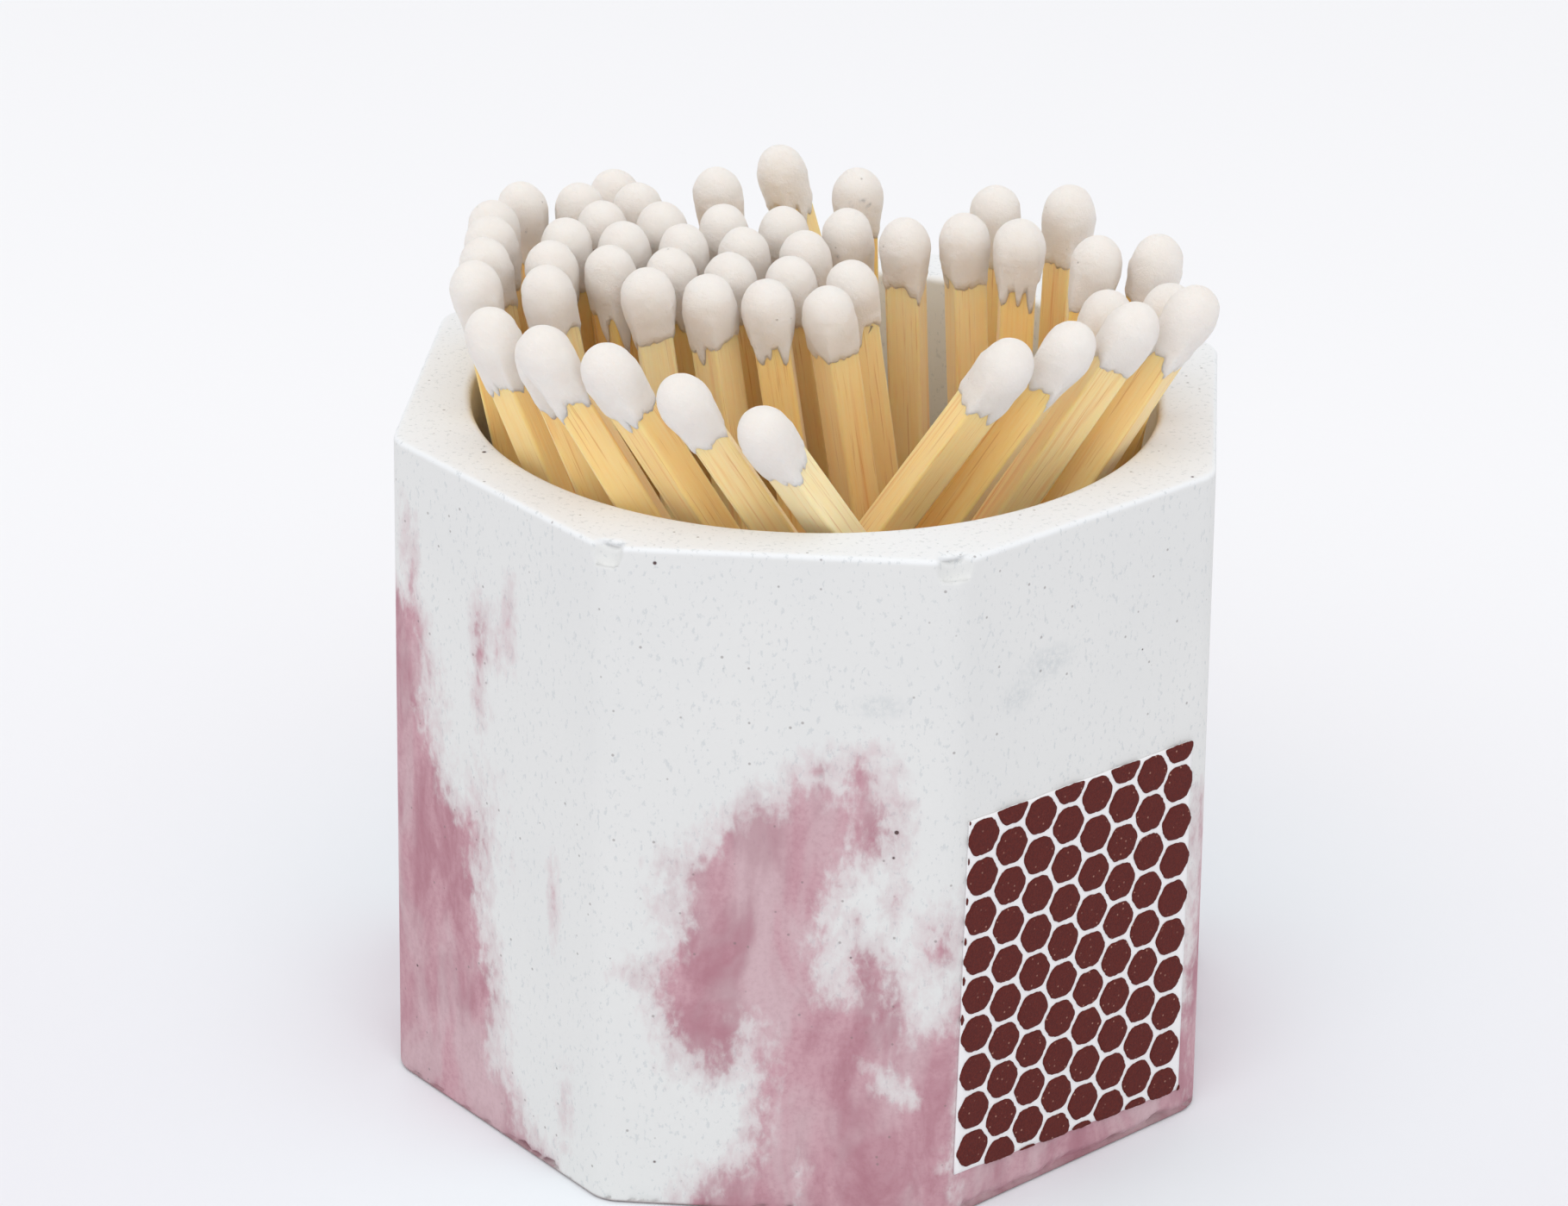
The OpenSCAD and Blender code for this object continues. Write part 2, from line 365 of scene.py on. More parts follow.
def store(piece, name, values):
    """Keeps a number or a vector at each point of the piece's mesh."""
    values = np.asarray(values, np.float32)
    kind, key = ("FLOAT", "value") if values.ndim == 1 else ("FLOAT_VECTOR", "vector")
    layer = piece.data.attributes.new(name, kind, "POINT")
    layer.data.foreach_set(key, values.ravel())


def tube_faces(rings, columns, start=0):
    """Quads between closed rings of points that follow one another."""
    return [
        (
            start + ring * columns + column,
            start + ring * columns + (column + 1) % columns,
            start + (ring + 1) * columns + (column + 1) % columns,
            start + (ring + 1) * columns + column,
        )
        for ring in range(rings - 1)
        for column in range(columns)
    ]


def mesh_points(node):
    """Every vertex of a CAD node, in millimetres."""
    return np.array([vertex.co for vertex in frame["nodes"][node].data.vertices], float) / MM


def measure_pot():
    """The pot's driving sizes, read off its solid."""
    points = mesh_points("pot")
    radius = np.hypot(points[:, 0], points[:, 1])
    height = points[:, 2].max()
    base = points[:, 0].max()
    near_rim = points[:, 2] > height - EDGE_R - 0.01
    on_top = points[:, 2] > height - 0.01
    inside = (radius < base - 3) & (points[:, 2] > 1)
    floor = points[inside, 2].min()
    low_wall = inside & (points[:, 2] < floor + FLOOR_FILLET + 0.1)
    return {
        "height": height,
        "base": base,
        "rim": points[near_rim, 0].max(),
        "well": radius[on_top].min(),
        "floor": floor,
        "floor_r": radius[low_wall].max(),
    }


def pot_columns():
    """Where each column of the outline lies: its face, its share across the face, and the
    turn within the rounded corner after it, in degrees."""
    columns = []
    for face in range(8):
        for step in range(FACE_COLUMNS):
            share = math.sin((step / (FACE_COLUMNS - 1) - 0.5) * math.pi)
            even = 2 * step / (FACE_COLUMNS - 1) - 1
            columns.append((face, 0.5 * share + 0.5 * even, 0))
        for step in range(1, CORNER_COLUMNS + 1):
            columns.append((face, 1, 45 * step / (CORNER_COLUMNS + 1)))
    return columns


def outline(columns, apothem, corner):
    """Points of the rounded octagon, anticlockwise from the front face's left end."""
    points = []
    for face, share, turn in columns:
        facing = math.radians(45 * face - 90)
        flat = (apothem - corner) * math.tan(math.radians(22.5))
        if turn == 0:
            ahead, across = apothem, share * flat
        else:
            ahead = apothem - corner + corner * math.cos(math.radians(turn))
            across = flat + corner * math.sin(math.radians(turn))
        points.append((
            ahead * math.cos(facing) - across * math.sin(facing),
            ahead * math.sin(facing) + across * math.cos(facing),
        ))
    return np.array(points)


# The marbling on the unrolled walls: u runs right from the middle of the front face, each
# face is 21 mm wide, and z runs up. Each outline has only the points that its shape needs.
MARBLING = {
    "front_cloud": [
        (5.3, 26.5), (4.2, 28.4), (2.6, 29.4), (1.2, 29), (0, 27.4), (-1.5, 27.4), (-3.2, 26),
        (-4.2, 24.4), (-5.6, 23.4), (-5.4, 20.8), (-6, 18), (-7, 15.8), (-6.4, 13.4), (-5.3, 11),
        (-4, 9.6), (-1.7, 10.2), (-1.2, 13), (-0.9, 10.5),
        (-0.5, 7), (-1, 4.5), (-5.1, 0), (-5, -3), (11, -3), (12, 15.5), (10.3, 13.7), (8, 12.7),
        (7.3, 15), (6.5, 17.7), (5, 18.9), (4.3, 17.2), (4.4, 15.6), (3.2, 15.4), (2.6, 17), (2.8, 20.5), (4, 24),
    ],
    "front_lobe": [(4.4, 30.6), (6.0, 30.7), (6.8, 28), (6.5, 25.6), (5.6, 24.2), (4.5, 25)],
    "under_patch": [(10.5, 14.5), (12, 17), (13, 6), (22, 4), (31, 9), (32, -3), (10.5, -3)],
    "right_face": [(30.5, 8), (31.5, 22), (33.5, 18), (38, 24), (41, 15), (46, 12), (50, 17), (54, 9), (58, -3), (30, -3)],
    "left_face": [
        (-31.5, 34), (-30.3, 33.5), (-29.1, 33), (-28.3, 30.5), (-27.9, 28.3), (-28.2, 25.6),
        (-26.8, 23), (-25, 20.8), (-23.4, 21.5), (-23.5, 18), (-22.3, 14), (-21.4, 10), (-21.2, 5),
        (-19, 2.2), (-15.5, 0), (-15, -3), (-52, -3), (-49, 12), (-45, 22), (-42, 17), (-39, 27), (-35, 31),
    ],
    "back_cloud": [(66, -3), (68, 12), (73, 20), (79, 15), (83, 26), (90, 31), (95, 22), (99, 24), (103, 10), (108, -3)],
    "back_wisp": [(72, 33), (74, 37), (79, 38), (77, 33), (74, 30)],
}
POCKETS = {
    "front_pocket": [(5.3, 11), (7.1, 10.5), (8.9, 8.9), (9.1, 7.5), (7.6, 7.8), (6.2, 9)],
    "front_slit": [(1.8, 4.4), (2.2, 4.4), (1.7, 0), (1.3, 0)],
}
# Short streaks: middle, half width and half height
STREAKS = [
    (-30.2, 38, 0.25, 0.9), (-29.2, 36.6, 0.25, 0.8), (-29.4, 34.8, 0.3, 0.8), (-23.0, 34.6, 0.25, 0.6),
    (-22.3, 32.9, 0.3, 1.2), (-19.6, 35.8, 0.25, 0.9), (-20.6, 33.8, 0.2, 0.6), (-22.6, 30.0, 0.25, 0.8),
    (-22.6, 20.5, 0.7, 1.2), (-15.1, 19.3, 0.2, 0.9), (-8.0, 16.2, 0.5, 0.4), (-5.0, 23.3, 0.7, 0.3),
    (6.9, 21.9, 0.35, 0.8), (9.9, 18.6, 0.6, 0.9), (-14.2, 4.8, 0.3, 0.9), (2.4, 30.2, 0.5, 0.35),
    (-6.3, 20.5, 0.5, 0.6), (4.6, 20.6, 0.3, 0.4),
]


def inside_outline(points, outline_points):
    """Distance in from an outline, in millimetres: more than 0 inside it, less outside."""
    corners = np.array(outline_points, float)
    following = np.roll(corners, -1, axis=0)
    nearest = np.full(len(points), 1e9)
    within = np.zeros(len(points), bool)
    for start, end in zip(corners, following):
        side = end - start
        share = np.clip(((points - start) @ side) / (side @ side), 0, 1)
        gap = np.hypot(*(points - start - share[:, None] * side).T)
        nearest = np.minimum(nearest, gap)
        crosses = (start[1] > points[:, 1]) != (end[1] > points[:, 1])
        reach = start[0] + (points[:, 1] - start[1]) * side[0] / (side[1] if side[1] else 1e-9)
        within ^= crosses & (points[:, 0] < reach)
    return np.where(within, nearest, -nearest)


def marbling(spread, girth):
    """How deep each place on the unrolled walls lies in the pink, in millimetres."""
    depth = np.full(len(spread), -6.0)
    for shape in MARBLING.values():
        for lap in (-girth, 0, girth):
            depth = np.maximum(depth, inside_outline(spread + (lap, 0), shape))
    for shape in POCKETS.values():
        depth = np.minimum(depth, 0.6 - inside_outline(spread, shape) * 1.4)
    for middle, up, half_width, half_height in STREAKS:
        offset = np.hypot((spread[:, 0] - middle) / half_width, (spread[:, 1] - up) / half_height)
        depth = np.maximum(depth, 0.1 - offset * 0.5)
    return np.clip(depth, -6, 4)


# Faint grey smudges: place along the unrolled walls, height, half width and half height
SMUDGES = [(17.8, 35.5, 2.6, 1.3), (15.4, 34, 1.6, 1.1), (6, 34.6, 1.8, 0.9), (-40, 24, 3, 1.5), (72, 28, 2.5, 1.4)]


def smudges(spread):
    """How grey each place on the unrolled walls is, 0 to 1."""
    grey = np.zeros(len(spread))
    for middle, up, half_width, half_height in SMUDGES:
        offset = np.hypot((spread[:, 0] - middle) / half_width, (spread[:, 1] - up) / half_height)
        grey = np.maximum(grey, 1 - smooth(offset, 0.2, 1.2))
    return grey


# Chips on the rim's corners and nicks in the lower edge: place along the unrolled walls, height,
# half width, half height and depth
CHIPS = [(-10.3, 43.75, 1.05, 0.9, 0.7), (10.4, 43.65, 1.2, 0.95, 0.75)]
# How far a chip reaches in over the flat top, and how deep it is there
CHIP_REACH = 0.9
CHIP_DROP = 0.5
NICKS = [
    (-27.5, 0, 0.7, 0.5, 0.35), (-18.2, 0, 0.8, 0.6, 0.4), (-15.6, 0, 1, 0.6, 0.5), (3, 0, 0.8, 0.4, 0.3),
    (25, 0, 0.6, 0.7, 0.3), (28.6, 0, 1.1, 0.9, 0.5), (40, 0, 0.9, 0.6, 0.4), (62, 0, 0.8, 0.6, 0.4),
    (85, 0, 1, 0.7, 0.5), (-44, 0, 0.8, 0.6, 0.4),
]


def wear(spread, points, height):
    """How far each point of the outer wall is worn in, in millimetres."""
    worn = np.zeros(len(points))
    for middle, up, half_width, half_height, depth in CHIPS + NICKS:
        reach = np.hypot((spread[:, 0] - middle) / half_width, (spread[:, 1] - up) / half_height)
        worn = np.maximum(worn, depth * np.clip(1 - reach ** 2, 0, 1) ** 0.8)
    for index in np.nonzero(spread[:, 1] < 1.4)[0]:
        crumble = noise.noise(Vector(points[index]) * 0.9) + 0.5 * noise.noise(Vector(points[index]) * 2.7)
        worn[index] += 0.35 * max(0.0, crumble - 0.12) * (1 - spread[index, 1] / 1.4)
        under_patch = smooth(spread[index, 0], 9, 14) * (1 - smooth(spread[index, 0], 29, 33))
        band = 0.3 + 0.4 * under_patch + 0.3 * crumble
        worn[index] += 0.5 * max(0.0, 1 - spread[index, 1] / max(band, 0.1)) ** 0.7
    for index in np.nonzero(spread[:, 1] > height - 0.8)[0]:
        worn[index] += 0.05 * max(0.0, noise.noise(Vector(points[index]) * 1.6))
    return worn


def build_pot(material):
    """The casting: walls with draft, rounded corners and edges, worn rim and foot, and the well."""
    size = measure_pot()
    height, base, rim = size["height"], size["base"], size["rim"]
    columns = pot_columns()
    count = len(columns)
    rings, spread_z = [], []

    def add_ring(flat, z):
        rings.append(np.c_[flat, np.full(count, z)])

    for share in (0.3, 0.7, 0.97):
        add_ring(outline(columns, (base - EDGE_R) * share, CORNER_R * share), 0)
    for step in range(5):
        turn = math.radians(90 * step / 4)
        add_ring(outline(columns, base - EDGE_R + EDGE_R * math.sin(turn), CORNER_R), EDGE_R * (1 - math.cos(turn)))
    first_wall = len(rings) - 1
    for step in range(1, WALL_RINGS):
        share = step / WALL_RINGS
        share = 0.5 * share + 0.5 * (0.5 - 0.5 * math.cos(math.pi * share))
        add_ring(outline(columns, base + (rim - base) * share, CORNER_R), EDGE_R + (height - 2 * EDGE_R) * share)
    for step in range(5):
        turn = math.radians(90 * step / 4)
        add_ring(outline(columns, rim - EDGE_R + EDGE_R * math.cos(turn), CORNER_R), height - EDGE_R * (1 - math.sin(turn)))
    last_wall = len(rings)
    outer = rings[-1][:, :2]
    ahead = outer / np.hypot(*outer.T)[:, None]
    mouth = size["well"]
    for step in range(1, 13):
        share = step / 12
        add_ring(outer * (1 - share) + ahead * mouth * share, height)
    wall_top = mouth - LIP_R
    for step in range(1, 6):
        turn = math.radians(90 * step / 5)
        add_ring(ahead * (mouth - LIP_R * math.sin(turn)), height - LIP_R * (1 - math.cos(turn)))
    low = size["floor"] + FLOOR_FILLET
    for step in range(1, 17):
        share = step / 16
        add_ring(ahead * (wall_top + (size["floor_r"] - wall_top) * share), height - LIP_R + (low - height + LIP_R) * share)
    for step in range(1, 6):
        turn = math.radians(90 * step / 5)
        add_ring(ahead * (size["floor_r"] - FLOOR_FILLET * (1 - math.cos(turn))), low - FLOOR_FILLET * math.sin(turn))
    for share in (0.8, 0.5, 0.2):
        add_ring(ahead * (size["floor_r"] - FLOOR_FILLET) * share, size["floor"])

    points = np.concatenate(rings)
    faces = tube_faces(len(rings), count)
    under, over = len(points), len(points) + 1
    points = np.concatenate([points, [[0, 0, 0], [0, 0, size["floor"]]]])
    last = (len(rings) - 1) * count
    faces += [(under, (column + 1) % count, column) for column in range(count)]
    faces += [(over, last + column, last + (column + 1) % count) for column in range(count)]

    turned = np.degrees(np.arctan2(points[:, 1], points[:, 0])) + 90
    turned = (turned + 180) % 360 - 180
    face_turn = (turned + 22.5) % 45 - 22.5
    face_width = 2 * (base + rim) / 2 * math.tan(math.radians(22.5))
    across = np.tan(np.radians(face_turn)) * (base + rim) / 2
    along = np.round((turned - face_turn) / 45) * face_width + across
    spread = np.c_[along, points[:, 2]]

    wall = np.zeros(len(points), bool)
    wall[first_wall * count:last_wall * count] = True
    worn = np.zeros(len(points))
    worn[wall] = wear(spread[wall], points[wall], height)
    flat_radius = np.maximum(np.hypot(points[:, 0], points[:, 1]), 1e-6)
    inward = (base + rim) / 2 - 0.3 - flat_radius * np.cos(np.radians(face_turn))
    for middle, _, half_width, _, _ in CHIPS:
        reach = np.hypot((along - middle) / half_width, np.maximum(inward, 0) / CHIP_REACH)
        on_top = points[:, 2] > height - 1
        points[:, 2] -= np.where(on_top, CHIP_DROP * np.clip(1 - reach ** 2, 0, 1) ** 0.8, 0)
    points[:, :2] *= (1 - worn / flat_radius)[:, None]

    outside = np.arange(len(points)) < last_wall * count
    vein = np.full(len(points), -2.9)
    vein[outside] = marbling(spread[outside], 8 * face_width)
    rim_fade = smooth(spread[:, 1], height - 2, height)
    vein = np.where(outside, vein - 1.5 * rim_fade, vein)
    grey = np.zeros(len(points))
    grey[outside] = smudges(spread[outside])

    pot = make_piece("cast_pot", points, faces, material)
    store(pot, "vein", vein)
    store(pot, "smudge", grey)
    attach(pot, "pot")
    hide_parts("pot")
    return pot


def patch_frame():
    """Axes of the face that carries the patch: across, up and out, with its origin on the film's
    outer side."""
    mesh = frame["nodes"]["striker_sheet"].data
    broadest = max((p for p in mesh.polygons if p.normal.y < -0.1), key=lambda p: p.area)
    out = broadest.normal.normalized()
    across = Vector((0, 0, 1)).cross(out).normalized()
    up = out.cross(across)
    axes = np.array([across, up, out])
    origin = np.array(broadest.center) / MM
    return axes, origin


def flat_hull(points):
    """Corners of the convex outline round some flat points, anticlockwise."""
    points = sorted(map(tuple, np.round(points, 4)))

    def chain(ordered):
        kept = []
        for x, y in ordered:
            while len(kept) > 1:
                (ax, ay), (bx, by) = kept[-2], kept[-1]
                if (bx - ax) * (y - ay) - (by - ay) * (x - ax) > 1e-7:
                    break
                kept.pop()
            kept.append((x, y))
        return kept[:-1]
    return np.array(chain(points) + chain(points[::-1]))


def even_steps(corners, step):
    """A closed outline resampled at even steps."""
    closed = np.concatenate([corners, corners[:1]])
    lengths = np.hypot(*np.diff(closed, axis=0).T)
    run = np.concatenate([[0], np.cumsum(lengths)])
    count = max(10, int(run[-1] / step))
    at = np.arange(count) * run[-1] / count
    return np.c_[np.interp(at, run, closed[:, 0]), np.interp(at, run, closed[:, 1])]


# How far the soft print spreads past its drawn outline
CELL_SPREAD = 0.075


def cell_islands():
    """The flat outline of each cell of striking compound, in the patch's own axes."""
    axes, origin = patch_frame()
    shape = bmesh.new()
    shape.from_mesh(frame["nodes"]["striker_cells"].data)
    bmesh.ops.remove_doubles(shape, verts=shape.verts, dist=1e-7)
    left = set(shape.verts)
    islands = []
    while left:
        island, edge = [], [left.pop()]
        while edge:
            vertex = edge.pop()
            island.append(vertex.co[:])
            for link in vertex.link_edges:
                other = link.other_vert(vertex)
                if other in left:
                    left.remove(other)
                    edge.append(other)
        islands.append((np.array(island) / MM - origin) @ axes.T)
    shape.free()
    islands.sort(key=lambda island: (round(island[:, 0].mean(), 2), round(island[:, 1].mean(), 2)))
    return islands, axes, origin


def build_cells(material):
    """The print of striking compound: low cushions with soft corners and ragged edges."""
    islands, axes, origin = cell_islands()
    points, faces = [], []
    for island in islands:
        top = island[:, 2].max()
        edge = even_steps(flat_hull(island[:, :2]), 0.12)
        for _ in range(2):
            edge = (np.roll(edge, 1, axis=0) + 2 * edge + np.roll(edge, -1, axis=0)) / 4
        middle = edge.mean(axis=0)
        outward = edge - middle
        outward /= np.hypot(*outward.T)[:, None]
        rag = np.array([noise.noise(Vector((x, y, 0)) * 2.2) * 0.05 + noise.noise(Vector((x, y, 5)) * 6.5) * 0.045 for x, y in edge])
        edge = edge + outward * (rag[:, None] + CELL_SPREAD)
        start = sum(len(part) for part in points)
        count = len(edge)
        for inset, lift in ((0, 0), (0.02, 0.6), (0.09, 0.95), (0.3, 1.0)):
            ring = edge - outward * np.minimum(inset, 0.6 * np.hypot(*(edge - middle).T))[:, None]
            points.append(np.c_[ring, np.full(count, top * lift)])
        points.append(np.array([[*middle, top]]))
        faces += tube_faces(4, count, start)
        last = start + 3 * count
        faces += [(last + k, last + (k + 1) % count, start + 4 * count) for k in range(count)]
    flat = np.concatenate(points)
    piece = make_piece("striker_print", flat @ axes + origin, faces, material)
    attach(piece, "pot")
    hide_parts("striker_cells")


def build_film(material):
    """The white film: hand-cut edges, and a surface that isn't quite flat."""
    axes, origin = patch_frame()
    local = (mesh_points("striker_sheet") - origin) @ axes.T
    thickness = -local[:, 2].min()
    corners = flat_hull(local[local[:, 2] > -thickness / 2][:, :2])
    edge = even_steps(corners, 0.35)
    middle = edge.mean(axis=0)
    cut = np.array([noise.noise(Vector((x, y, 2)) * 0.5) * 0.06 for x, y in edge])
    outward = edge - middle
    edge = edge + outward / np.hypot(*outward.T)[:, None] * cut[:, None]
    count = len(edge)
    rings = [np.c_[edge, np.full(count, -thickness)], np.c_[edge, np.full(count, -0.05)]]
    for share in (0.997, 0.97, 0.9, 0.8, 0.65, 0.5, 0.35, 0.2):
        ring = middle + (edge - middle) * share
        wave = [0.012 * noise.noise(Vector((x, y, 9)) * 0.35) for x, y in ring]
        rings.append(np.c_[ring, np.minimum(wave, 0)])
    points = np.concatenate([*rings, [[*middle, 0], [*middle, -thickness]]])
    faces = tube_faces(len(rings), count)
    last = (len(rings) - 1) * count
    top, bottom = len(points) - 2, len(points) - 1
    faces += [(last + k, last + (k + 1) % count, top) for k in range(count)]
    faces += [(k, bottom, (k + 1) % count) for k in range(count)]
    piece = make_piece("striker_film", points @ axes + origin, faces, material)
    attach(piece, "pot")
    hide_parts("striker_sheet")


def match_place(node, axis):
    """A match's own frame: its origin in the middle of its foot, x and y along the sides of the
    stick and z along it. Also its length and the stick's width."""
    points = mesh_points(node)
    axis = np.array(axis, float) / np.linalg.norm(axis)
    along = points @ axis
    foot = points[along < along.min() + 0.01]
    middle = foot.mean(axis=0)
    corner = foot[0] - middle
    corner -= axis * (corner @ axis)
    width = np.linalg.norm(corner) * math.sqrt(2)
    corner /= np.linalg.norm(corner)
    other = np.cross(axis, corner)
    side = (corner - other) / math.sqrt(2)
    place = np.array([side, np.cross(axis, side), axis])
    return place, middle, along.max() - along.min(), width


def square_radius(turn, half, edge):
    """Radius of a square with rounded corners at an angle in radians."""
    turn = (turn + math.pi / 4) % (math.pi / 2) - math.pi / 4
    flat = half / math.cos(turn)
    reach = abs(turn)
    inner = half - edge
    if math.tan(reach) * half <= inner:
        return flat
    spread = inner * (math.cos(reach) + math.sin(reach))
    return spread + math.sqrt(max(0.0, edge ** 2 - 2 * inner ** 2 + spread ** 2))


STICK_COLUMNS = 24
STICK_RINGS = 46


def stick_mesh(width, length, seed):
    """A split stick: rounded edges, long shallow hollows and a slight bow."""
    dice = random.Random(seed)
    offset = Vector((dice.uniform(-50, 50), dice.uniform(-50, 50), dice.uniform(-50, 50)))
    corner_turns = [math.radians(90 * k + 45) for k in range(4)]
    turns = sorted(
        [turn + math.radians(shift) for turn in corner_turns for shift in (-7, -3, 3, 7)]
        + [math.radians(90 * k + shift) for k in range(4) for shift in (-24, 24)]
    )
    lean_x, lean_y = dice.uniform(-0.04, 0.04), dice.uniform(-0.04, 0.04)
    points = []
    for ring in range(STICK_RINGS):
        z = length * ring / (STICK_RINGS - 1)
        thin = 1 - 0.015 * abs(noise.noise(Vector((z * 0.11, 3, seed))))
        bow = math.sin(math.pi * z / length)
        for turn in turns:
            radius = square_radius(turn, width / 2 * thin, STICK_EDGE)
            x, y = radius * math.cos(turn), radius * math.sin(turn)
            split = noise.noise(Vector((x * 1.6, y * 1.6, z * 0.09)) + offset)
            radius -= 0.035 * max(0.0, split + 0.2)
            points.append((radius * math.cos(turn) + lean_x * bow, radius * math.sin(turn) + lean_y * bow, z))
    count = len(turns)
    faces = tube_faces(STICK_RINGS, count)
    faces.append(tuple(range(count))[::-1])
    faces.append(tuple((STICK_RINGS - 1) * count + k for k in range(count)))
    return np.array(points), faces


# Swellings of the dip: how many to a millimetre, and how high
HEAD_LUMPS = [(0.7, 0.07), (2.0, 0.03), (4.0, 0.014)]
HEAD_COLUMNS = 64
HEAD_RINGS = 26


def drip_edge(turns, dice, length, legs):
    """Where the dip ends at each angle, as a distance from the tip."""
    wave = dice.uniform(0, 6.28)
    ends = length + 0.2 * np.sin(turns + wave) + 0.1 * np.sin(3 * turns + 2 * wave)
    for swing, pace in ((0.3, 2.0), (0.22, 4.0)):
        ends += [swing * noise.noise(Vector((pace * math.cos(turn), pace * math.sin(turn), wave))) for turn in turns]
    drips = [
        (dice.uniform(0, 2 * math.pi), dice.uniform(0.2, 0.4), dice.uniform(0.25, 0.85))
        for _ in range(dice.choice((3, 4, 4, 5, 6)))
    ]
    for middle, half, drop in drips + legs:
        away = np.abs((turns - middle + math.pi) % (2 * math.pi) - math.pi)
        ends += drop * np.sqrt(np.clip(1 - (away / half) ** 2, 0, 1))
    return ends


# Long drips on some heads, by the match's number: degrees round from the front, half width in
# degrees and length
LEGS = {
    19: [(-30, 12, 1.3), (-8, 9, 0.8), (34, 10, 1.2)],
    23: [(-38, 12, 1.4), (36, 11, 1.5)],
    42: [(-36, 12, 0.9), (6, 10, 0.8), (42, 9, 1.8)],
    4: [(-20, 12, 0.7), (24, 12, 0.9)],
    10: [(30, 14, 0.8)],
}
# Sooty marks: degrees round from the front, distance from the tip and size
SOOT = {48: [(-12, 1.7, 0.3), (18, 1.4, 0.3), (30, 1.8, 0.22)], 44: [(10, 2.6, 0.2)], 39: [(-20, 2.4, 0.18)]}
# How amber the wood of some matches is, 0 to 1. The others have a random tone.
TONES = {1: 0.55, 2: 0.6, 3: 0.3, 4: 0.0, 7: 0.5, 8: 0.7, 9: 0.35, 10: 0.5, 19: 0.6, 20: 0.45, 26: 0.25, 27: 0.3, 33: 0.4,
         39: 0.35, 40: 0.1, 41: 0.15, 42: 0.6, 43: 0.3, 49: 0.1, 51: 0.25}


def egg_radius(down):
    """Radius of the drop of compound at a distance from the tip, without the stick in it."""
    if down < BELLY:
        return HEAD_R * math.sqrt(max(0.0, 1 - (1 - down / BELLY) ** 2))
    fall = min(1.0, (down - BELLY) / (HEAD_L - BELLY))
    return NECK_R + (HEAD_R - NECK_R) * (0.5 + 0.5 * math.cos(fall * math.pi))


def head_mesh(width, length, seed, front):
    """A dipped head: an egg that turns into a skin on the stick's four sides, and ends in drips.
    Front is the angle that looks to the pot's front. Gives the soot on each point as well."""
    dice = random.Random(1000 + seed)
    turns = np.arange(HEAD_COLUMNS) * 2 * math.pi / HEAD_COLUMNS
    legs = [(front + math.radians(turn), math.radians(half), drop) for turn, half, drop in LEGS.get(seed, [])]
    ends = drip_edge(turns, dice, HEAD_L + dice.uniform(-0.8, 0.1), legs)
    offset = Vector((dice.uniform(-50, 50), dice.uniform(-50, 50), dice.uniform(-50, 50)))
    plump = dice.uniform(0.96, 1.0)
    stick = [square_radius(turn, width / 2, STICK_EDGE) for turn in turns]
    skin = [square_radius(turn, width / 2 + SKIN, SKIN_EDGE) for turn in turns]
    points, soot = [], []
    for ring in range(1, HEAD_RINGS + 1):
        share = ring / HEAD_RINGS
        close = float(smooth(share, 0.93, 1.0))
        for column, turn in enumerate(turns):
            down = ends[column] * (1 - math.cos(share * math.pi / 2)) ** 0.9
            egg = egg_radius(down) * plump
            wrap = skin[column] * float(smooth(down, TIP_COVER - 0.5, TIP_COVER + 0.6))
            radius = (egg ** 10 + wrap ** 10) ** 0.1
            where = Vector((radius * math.cos(turn), radius * math.sin(turn), down))
            lump = sum(depth * noise.noise(where * pace + offset) for pace, depth in HEAD_LUMPS)
            radius += lump * min(1.0, down / 0.6)
            if down > TIP_COVER - 0.1:
                radius = max(radius, stick[column] + COVER)
            radius = radius * (1 - close) + (stick[column] - COVER) * close
            points.append((radius * math.cos(turn), radius * math.sin(turn), length - down))
            marks = [
                math.hypot(HEAD_R * math.sin(turn - front - math.radians(aside)), 2 * (down - mark_down)) / size
                for aside, mark_down, size in SOOT.get(seed, [])
                if math.cos(turn - front) > 0
            ]
            soot.append(max(0.0, 1 - min(marks, default=1)))
    points.append((0, 0, length))
    soot.append(0.0)
    faces = [face[::-1] for face in tube_faces(HEAD_RINGS, HEAD_COLUMNS)]
    top = len(points) - 1
    faces += [(top, column, (column + 1) % HEAD_COLUMNS) for column in range(HEAD_COLUMNS)]
    last = (HEAD_RINGS - 1) * HEAD_COLUMNS
    faces.append(tuple(last + column for column in range(HEAD_COLUMNS))[::-1])
    return np.array(points), faces, soot


def build_match(number, joint, wood, coat):
    """One match: a stick and its head, which both move with the match's body."""
    body = joint["child"]
    node = frame["record"]["behaviour"]["bodies"][body][0]
    place, middle, length, width = match_place(node, joint["axis"])
    dice = random.Random(7 * number)
    shift = np.array([dice.uniform(-200, 200), dice.uniform(-200, 200), dice.uniform(-200, 200)])
    tone = TONES.get(number, min(1.0, max(0.0, dice.gauss(0.45, 0.3))))
    front = math.atan2(-place[1][1], -place[0][1])

    def add_part(kind, points, faces, material):
        piece = make_piece(f"{node}_{kind}", points @ place + middle, faces, material)
        store(piece, "grain", points + shift)
        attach(piece, body)
        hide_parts(node)
        return piece

    points, faces = stick_mesh(width, length - TIP_COVER, number)
    stick = add_part("stick", points, faces, wood)
    store(stick, "tone", np.full(len(points), tone))
    points, faces, soot = head_mesh(width, length, number, front)
    head = add_part("head", points, faces, coat)
    store(head, "soot", soot)


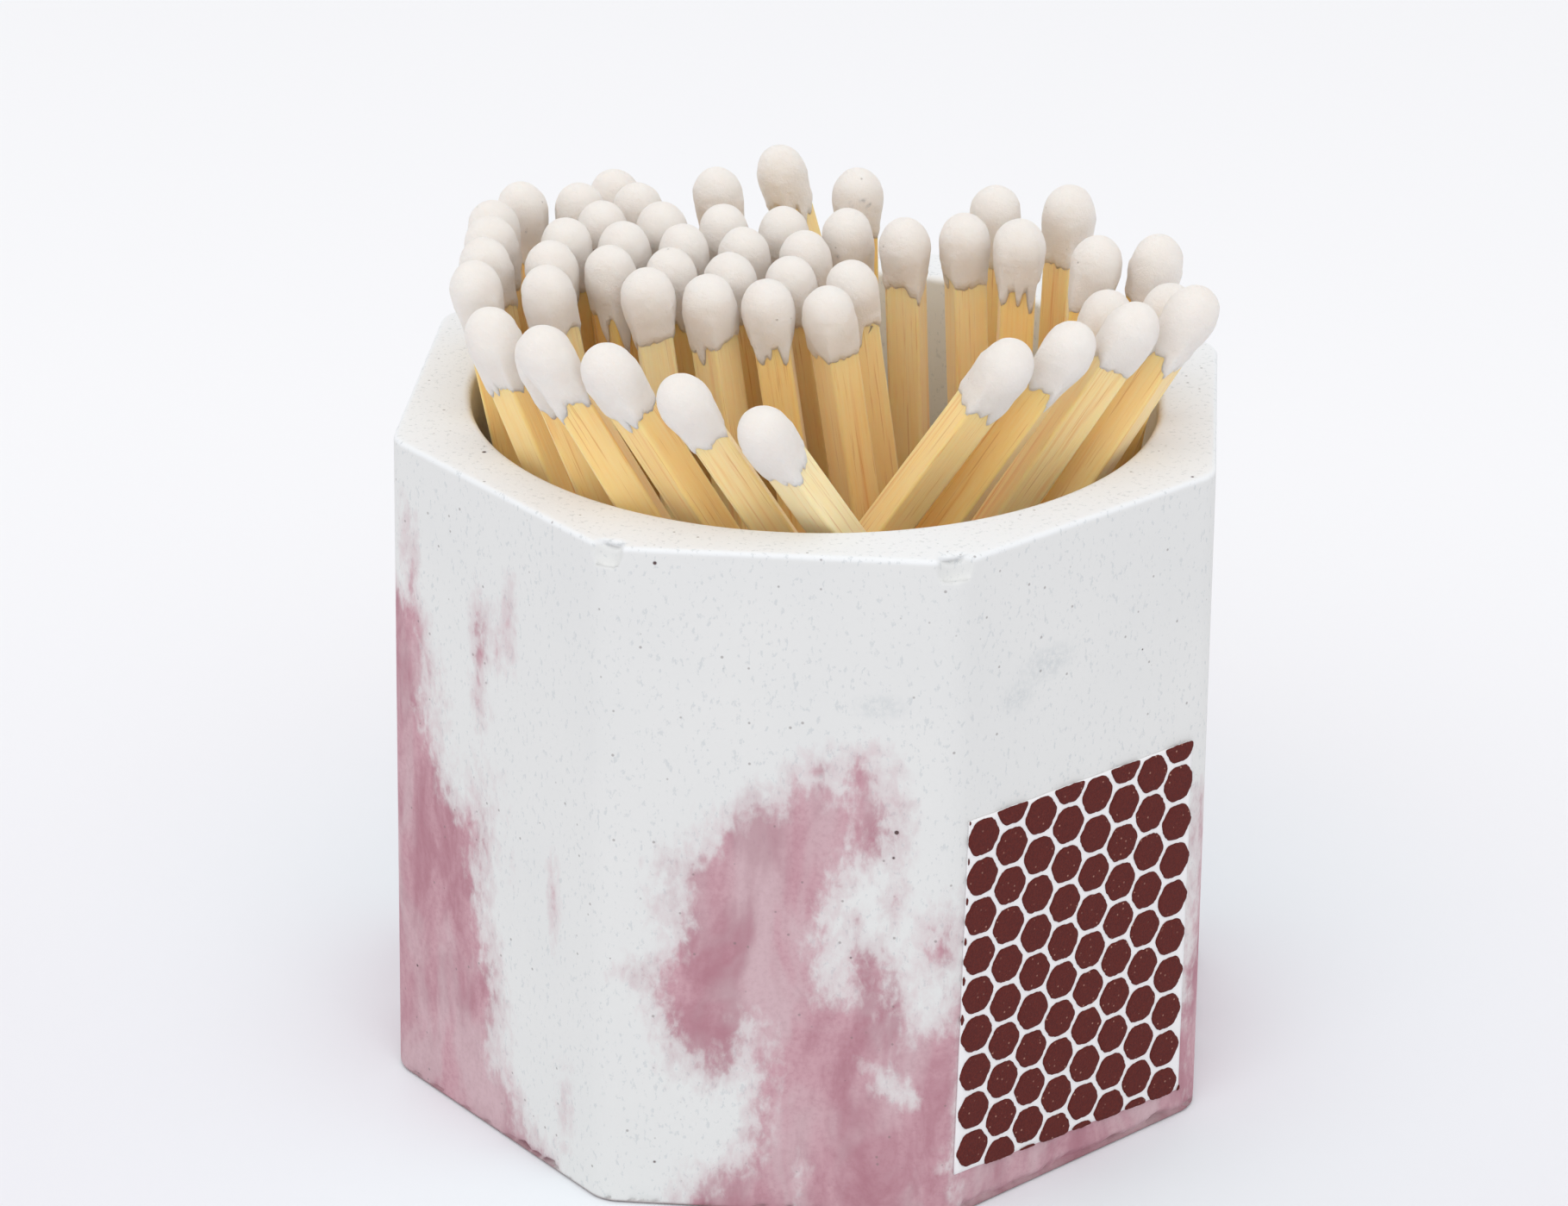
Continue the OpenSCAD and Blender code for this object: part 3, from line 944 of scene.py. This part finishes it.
def build_camera():
    """The photograph's viewpoint."""
    heading, dip, roll = (math.radians(value) for value in (CAMERA_HEADING, CAMERA_DIP, CAMERA_ROLL))
    ahead = Vector((math.sin(heading) * math.cos(dip), math.cos(heading) * math.cos(dip), -math.sin(dip)))
    level = Vector((math.cos(heading), -math.sin(heading), 0))
    upright = level.cross(ahead)
    right = math.cos(roll) * level + math.sin(roll) * upright
    up = right.cross(ahead)
    data = bpy.data.cameras.new("camera")
    data.lens = CAMERA_LENS
    data.sensor_width = 36
    data.clip_start, data.clip_end = 0.01, 20
    camera = bpy.data.objects.new("camera", data)
    camera.matrix_world = Matrix((
        (right.x, up.x, -ahead.x, CAMERA_AT[0] * MM),
        (right.y, up.y, -ahead.y, CAMERA_AT[1] * MM),
        (right.z, up.z, -ahead.z, CAMERA_AT[2] * MM),
        (0, 0, 0, 1),
    ))
    bpy.context.scene.collection.objects.link(camera)
    bpy.context.scene.camera = camera


def area_light(name, at, size, power, colour=(1, 1, 1)):
    """A soft lamp that looks at the pot."""
    data = bpy.data.lights.new(name, "AREA")
    data.shape = "DISK"
    data.size = size
    data.energy = power
    data.color = colour
    lamp = bpy.data.objects.new(name, data)
    lamp.location = at
    lamp.rotation_mode = "QUATERNION"
    lamp.rotation_quaternion = (Vector((0, 0, 0.03)) - Vector(at)).to_track_quat("-Z", "Y")
    bpy.context.scene.collection.objects.link(lamp)


def build_studio():
    """Pale floor, an even sky and one broad lamp overhead."""
    reach = 4.0
    mesh = bpy.data.meshes.new("floor")
    mesh.from_pydata([(-reach, -reach, 0), (reach, -reach, 0), (reach, reach, 0), (-reach, reach, 0)], [], [(0, 1, 2, 3)])
    mesh.materials.append(studio_floor())
    floor = bpy.data.objects.new("floor", mesh)
    bpy.context.scene.collection.objects.link(floor)
    world = bpy.data.worlds.new("studio")
    world.use_nodes = True
    sky = world.node_tree.nodes["Background"]
    sky.inputs["Color"].default_value = (0.985, 0.99, 1.0, 1)
    sky.inputs["Strength"].default_value = 0.87
    bpy.context.scene.world = world
    area_light("overhead", (-0.04, -0.42, 0.8), 1.1, 2.8, (1, 0.995, 0.99))
    bpy.context.scene.view_settings.view_transform = "Standard"


build_camera()
build_studio()
build_pot(cast_body())
build_film(film())
build_cells(striking_compound())
shared_wood, shared_dip = matchwood(), dip()
for number, slide in enumerate(frame["joints"], 1):
    build_match(number, slide, shared_wood, shared_dip)
